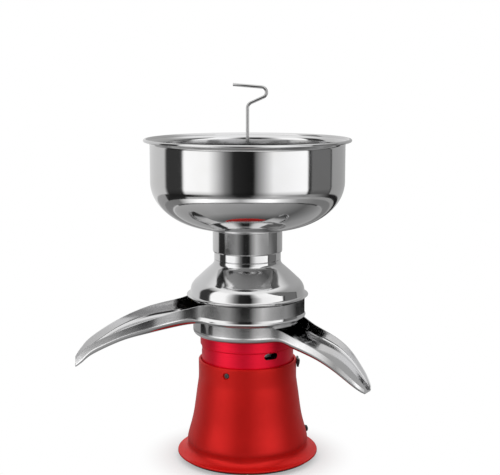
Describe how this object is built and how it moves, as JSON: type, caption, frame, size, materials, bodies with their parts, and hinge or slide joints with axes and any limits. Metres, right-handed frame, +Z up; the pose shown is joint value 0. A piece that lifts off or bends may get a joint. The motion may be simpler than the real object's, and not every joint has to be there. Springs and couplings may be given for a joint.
{
  "type": "cream separator",
  "caption": "Electric cream separator with a red bell-shaped motor base, spinning disc drum, polished spouted receivers, float chamber and an open milk bowl with a bent wire tap handle.",
  "frame": {"origin": "centre of the bottom cover's flat underside, on the drum's spin axis; the rubber feet reach 4 mm below it", "axes": "+Z up along the spin axis, -Y to the front as used, +X to the right; the cream spout points to -X and the skimmed-milk spout to +X and the front"},
  "size_m": [0.4093, 0.29, 0.5341],
  "materials": {
    "polished_steel": "mirror-polished stainless steel",
    "float_steel": "satin stainless steel",
    "tap_steel": "turned stainless steel",
    "rod_steel": "drawn wire, bright",
    "red_anodised": "bright metallic red",
    "red_paint": "gloss red enamel",
    "black_plastic": "moulded",
    "foot_rubber": "soft matte",
    "zinc_steel": "zinc plated",
    "bearing_steel": "ground",
    "drum_aluminium": "turned",
    "seal_rubber": "food-grade, matte",
    "brass": "turned",
    "commutator_copper": "turned copper bars",
    "lamination": "stacked electrical steel",
    "copper_wire": "enamelled winding",
    "carbon": "pressed carbon",
    "cast_bracket": "die cast",
    "fan_plastic": "moulded",
    "capacitor_plastic": "moulded"
  },
  "bodies": {
    "housing": {"base_housing": "red_paint", "drum_casing": "red_anodised", "bottom_cover": "black_plastic", "foot_1": "foot_rubber", "foot_2": "foot_rubber", "foot_3": "foot_rubber", "foot_4": "foot_rubber", "cover_screw_1": "zinc_steel", "cover_screw_2": "zinc_steel", "cover_screw_3": "zinc_steel", "casing_screw_1": "zinc_steel", "casing_screw_2": "zinc_steel", "switch_body": "black_plastic", "cable_gland": "black_plastic", "motor_top_bracket": "cast_bracket", "motor_bottom_bracket": "cast_bracket", "stator_core": "lamination", "field_coil_1": "copper_wire", "field_coil_2": "copper_wire", "brush_holder_1": "brass", "brush_holder_2": "brass", "carbon_brush_1": "carbon", "carbon_brush_2": "carbon", "upper_bearing": "bearing_steel", "lower_bearing": "bearing_steel", "damper_1": "foot_rubber", "damper_2": "foot_rubber", "damper_3": "foot_rubber", "suppressor_capacitor": "capacitor_plastic"},
    "rocker": {"switch_rocker": "black_plastic"},
    "drum": {"spindle": "bearing_steel", "armature_core": "lamination", "commutator": "commutator_copper", "cooling_fan": "fan_plastic", "drum_base": "drum_aluminium", "drum_seal_ring": "seal_rubber", "disc_carrier": "drum_aluminium", "disc_01": "drum_aluminium", "disc_02": "drum_aluminium", "disc_03": "drum_aluminium", "disc_04": "drum_aluminium", "disc_05": "drum_aluminium", "disc_06": "drum_aluminium", "disc_07": "drum_aluminium", "disc_08": "drum_aluminium", "disc_09": "drum_aluminium", "disc_10": "drum_aluminium", "top_disc": "drum_aluminium", "cream_screw": "brass", "drum_cover": "drum_aluminium", "drum_nut": "brass"},
    "skim_receiver": {"skim_receiver": "polished_steel"},
    "cream_receiver": {"cream_receiver": "polished_steel"},
    "float_chamber": {"float_chamber": "polished_steel"},
    "float": {"float": "float_steel"},
    "bowl": {"milk_bowl": "polished_steel", "bowl_collar": "polished_steel", "tap_seat": "tap_steel"},
    "tap": {"tap_plug": "tap_steel", "tap_rod": "rod_steel"}
  },
  "joints": [
    {"name": "drum_spin", "type": "hinge", "parent": "housing", "child": "drum", "pos_m": [0, 0, 0.158], "axis": [0, 0, 1], "continuous": true},
    {"name": "switch_rock", "type": "hinge", "parent": "housing", "child": "rocker", "pos_m": [0.0705, 0, 0.134], "axis": [0, -1, 0], "range_deg": [0, 20]},
    {"name": "skim_receiver_lift", "type": "slide", "parent": "housing", "child": "skim_receiver", "axis": [0, 0, 1], "range_m": [0, 0.07]},
    {"name": "cream_receiver_lift", "type": "slide", "parent": "skim_receiver", "child": "cream_receiver", "axis": [0, 0, 1], "range_m": [0, 0.05]},
    {"name": "float_chamber_lift", "type": "slide", "parent": "cream_receiver", "child": "float_chamber", "axis": [0, 0, 1], "range_m": [0, 0.05]},
    {"name": "float_rise", "type": "slide", "parent": "float_chamber", "child": "float", "axis": [0, 0, 1], "range_m": [0, 0.0093]},
    {"name": "bowl_lift", "type": "slide", "parent": "float_chamber", "child": "bowl", "axis": [0, 0, 1], "range_m": [0, 0.06]},
    {"name": "tap_turn", "type": "hinge", "parent": "bowl", "child": "tap", "pos_m": [0, 0, 0.32], "axis": [0, 0, 1], "range_deg": [0, 90]}
  ]
}
